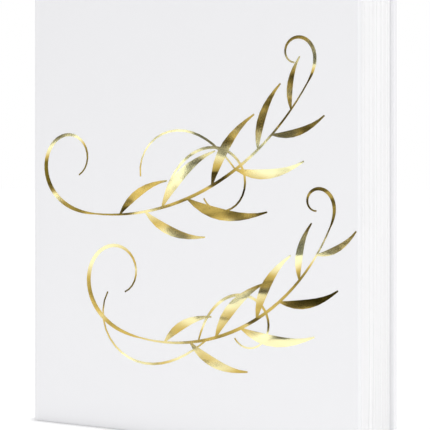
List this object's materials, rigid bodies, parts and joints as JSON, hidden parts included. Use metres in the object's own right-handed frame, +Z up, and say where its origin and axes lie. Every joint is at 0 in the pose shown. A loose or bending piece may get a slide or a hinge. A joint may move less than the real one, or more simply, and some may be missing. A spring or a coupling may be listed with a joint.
{
  "type": "wedding guest book",
  "caption": "Case-bound wedding guest book standing closed on its tail edge, with white covers, sewn sections of heavy leaves and gold foil leafy sprays on the front cover.",
  "frame": {"origin": "middle of the closed book's base, on the surface that its tail edge stands on", "axes": "+Z up from the tail edge to the head, +X from the spine to the fore edge, +Y from the front cover to the back cover"},
  "size_m": [0.185, 0.0401, 0.24],
  "materials": {
    "white_laminated_paper": "satin",
    "grey_board": "matte",
    "page_paper": "matte",
    "endpaper": "matte",
    "gauze": "matte",
    "kraft_paper": "matte",
    "linen_thread": "matte",
    "band_cloth": "matte",
    "gold_foil": "polished"
  },
  "bodies": {
    "spine": {"spine_board": "grey_board", "spine_cover_paper": "white_laminated_paper", "front_joint_paper": "white_laminated_paper", "back_joint_paper": "white_laminated_paper", "spine_lining": "kraft_paper", "spine_gauze": "gauze", "headband": "band_cloth", "tailband": "band_cloth", "section_1_fold": "page_paper", "section_1_thread": "linen_thread", "section_2_fold": "page_paper", "section_2_thread": "linen_thread", "section_3_fold": "page_paper", "section_3_thread": "linen_thread", "section_4_fold": "page_paper", "section_4_thread": "linen_thread", "section_5_fold": "page_paper", "section_5_thread": "linen_thread", "section_6_fold": "page_paper", "section_6_thread": "linen_thread", "section_7_fold": "page_paper", "section_7_thread": "linen_thread"},
    "front_cover": {"front_board": "grey_board", "front_cover_paper": "white_laminated_paper", "front_gauze_wing": "gauze", "front_pastedown": "endpaper", "foil_upper_spray": "gold_foil", "foil_lower_spray": "gold_foil"},
    "back_cover": {"back_board": "grey_board", "back_cover_paper": "white_laminated_paper", "back_gauze_wing": "gauze", "back_pastedown": "endpaper"},
    "front_flyleaf": {"front_flyleaf": "endpaper"},
    "back_flyleaf": {"back_flyleaf": "endpaper"},
    "section_1_front_leaves": {"section_1_front_leaves": "page_paper"},
    "section_1_back_leaves": {"section_1_back_leaves": "page_paper"},
    "section_2_front_leaves": {"section_2_front_leaves": "page_paper"},
    "section_2_back_leaves": {"section_2_back_leaves": "page_paper"},
    "section_3_front_leaves": {"section_3_front_leaves": "page_paper"},
    "section_3_back_leaves": {"section_3_back_leaves": "page_paper"},
    "section_4_front_leaves": {"section_4_front_leaves": "page_paper"},
    "section_4_back_leaves": {"section_4_back_leaves": "page_paper"},
    "section_5_front_leaves": {"section_5_front_leaves": "page_paper"},
    "section_5_back_leaves": {"section_5_back_leaves": "page_paper"},
    "section_6_front_leaves": {"section_6_front_leaves": "page_paper"},
    "section_6_back_leaves": {"section_6_back_leaves": "page_paper"},
    "section_7_front_leaves": {"section_7_front_leaves": "page_paper"},
    "section_7_back_leaves": {"section_7_back_leaves": "page_paper"}
  },
  "joints": [
    {"name": "front_cover_hinge", "type": "hinge", "parent": "spine", "child": "front_cover", "pos_m": [-0.0895, -0.02014, 0], "axis": [0, 0, -1], "range_deg": [0, 175]},
    {"name": "back_cover_hinge", "type": "hinge", "parent": "spine", "child": "back_cover", "pos_m": [-0.0895, 0.02014, 0], "axis": [0, 0, 1], "range_deg": [0, 175]},
    {"name": "front_flyleaf_turn", "type": "hinge", "parent": "spine", "child": "front_flyleaf", "pos_m": [-0.08465, -0.01654, 0], "axis": [0, 0, -1], "range_deg": [0, 105]},
    {"name": "back_flyleaf_turn", "type": "hinge", "parent": "spine", "child": "back_flyleaf", "pos_m": [-0.08465, 0.01654, 0], "axis": [0, 0, 1], "range_deg": [0, 105]},
    {"name": "section_1_front_turn", "type": "hinge", "parent": "spine", "child": "section_1_front_leaves", "pos_m": [-0.0843, -0.01619, 0], "axis": [0, 0, -1], "range_deg": [0, 89.25]},
    {"name": "section_1_back_turn", "type": "hinge", "parent": "spine", "child": "section_1_back_leaves", "pos_m": [-0.08198, -0.01387, 0], "axis": [0, 0, -1], "range_deg": [0, 87.5]},
    {"name": "section_2_front_turn", "type": "hinge", "parent": "spine", "child": "section_2_front_leaves", "pos_m": [-0.07966, -0.01155, 0], "axis": [0, 0, -1], "range_deg": [0, 85.75]},
    {"name": "section_2_back_turn", "type": "hinge", "parent": "spine", "child": "section_2_back_leaves", "pos_m": [-0.07734, -0.00923, 0], "axis": [0, 0, -1], "range_deg": [0, 84]},
    {"name": "section_3_front_turn", "type": "hinge", "parent": "spine", "child": "section_3_front_leaves", "pos_m": [-0.07502, -0.00691, 0], "axis": [0, 0, -1], "range_deg": [0, 82.25]},
    {"name": "section_3_back_turn", "type": "hinge", "parent": "spine", "child": "section_3_back_leaves", "pos_m": [-0.0727, -0.00459, 0], "axis": [0, 0, -1], "range_deg": [0, 80.5]},
    {"name": "section_4_front_turn", "type": "hinge", "parent": "spine", "child": "section_4_front_leaves", "pos_m": [-0.07038, -0.00227, 0], "axis": [0, 0, -1], "range_deg": [0, 78.75]},
    {"name": "section_4_back_turn", "type": "hinge", "parent": "spine", "child": "section_4_back_leaves", "pos_m": [-0.07038, 0.00227, 0], "axis": [0, 0, 1], "range_deg": [0, 78.75]},
    {"name": "section_5_front_turn", "type": "hinge", "parent": "spine", "child": "section_5_front_leaves", "pos_m": [-0.0727, 0.00459, 0], "axis": [0, 0, 1], "range_deg": [0, 80.5]},
    {"name": "section_5_back_turn", "type": "hinge", "parent": "spine", "child": "section_5_back_leaves", "pos_m": [-0.07502, 0.00691, 0], "axis": [0, 0, 1], "range_deg": [0, 82.25]},
    {"name": "section_6_front_turn", "type": "hinge", "parent": "spine", "child": "section_6_front_leaves", "pos_m": [-0.07734, 0.00923, 0], "axis": [0, 0, 1], "range_deg": [0, 84]},
    {"name": "section_6_back_turn", "type": "hinge", "parent": "spine", "child": "section_6_back_leaves", "pos_m": [-0.07966, 0.01155, 0], "axis": [0, 0, 1], "range_deg": [0, 85.75]},
    {"name": "section_7_front_turn", "type": "hinge", "parent": "spine", "child": "section_7_front_leaves", "pos_m": [-0.08198, 0.01387, 0], "axis": [0, 0, 1], "range_deg": [0, 87.5]},
    {"name": "section_7_back_turn", "type": "hinge", "parent": "spine", "child": "section_7_back_leaves", "pos_m": [-0.0843, 0.01619, 0], "axis": [0, 0, 1], "range_deg": [0, 89.25]}
  ],
  "couplings": [
    {"joint": "front_flyleaf_turn", "follows": "front_cover_hinge", "ratio": 0.6},
    {"joint": "back_flyleaf_turn", "follows": "back_cover_hinge", "ratio": 0.6},
    {"joint": "section_1_front_turn", "follows": "front_cover_hinge", "ratio": 0.51},
    {"joint": "section_1_back_turn", "follows": "front_cover_hinge", "ratio": 0.5},
    {"joint": "section_2_front_turn", "follows": "front_cover_hinge", "ratio": 0.49},
    {"joint": "section_2_back_turn", "follows": "front_cover_hinge", "ratio": 0.48},
    {"joint": "section_3_front_turn", "follows": "front_cover_hinge", "ratio": 0.47},
    {"joint": "section_3_back_turn", "follows": "front_cover_hinge", "ratio": 0.46},
    {"joint": "section_4_front_turn", "follows": "front_cover_hinge", "ratio": 0.45},
    {"joint": "section_4_back_turn", "follows": "back_cover_hinge", "ratio": 0.45},
    {"joint": "section_5_front_turn", "follows": "back_cover_hinge", "ratio": 0.46},
    {"joint": "section_5_back_turn", "follows": "back_cover_hinge", "ratio": 0.47},
    {"joint": "section_6_front_turn", "follows": "back_cover_hinge", "ratio": 0.48},
    {"joint": "section_6_back_turn", "follows": "back_cover_hinge", "ratio": 0.49},
    {"joint": "section_7_front_turn", "follows": "back_cover_hinge", "ratio": 0.5},
    {"joint": "section_7_back_turn", "follows": "back_cover_hinge", "ratio": 0.51}
  ]
}
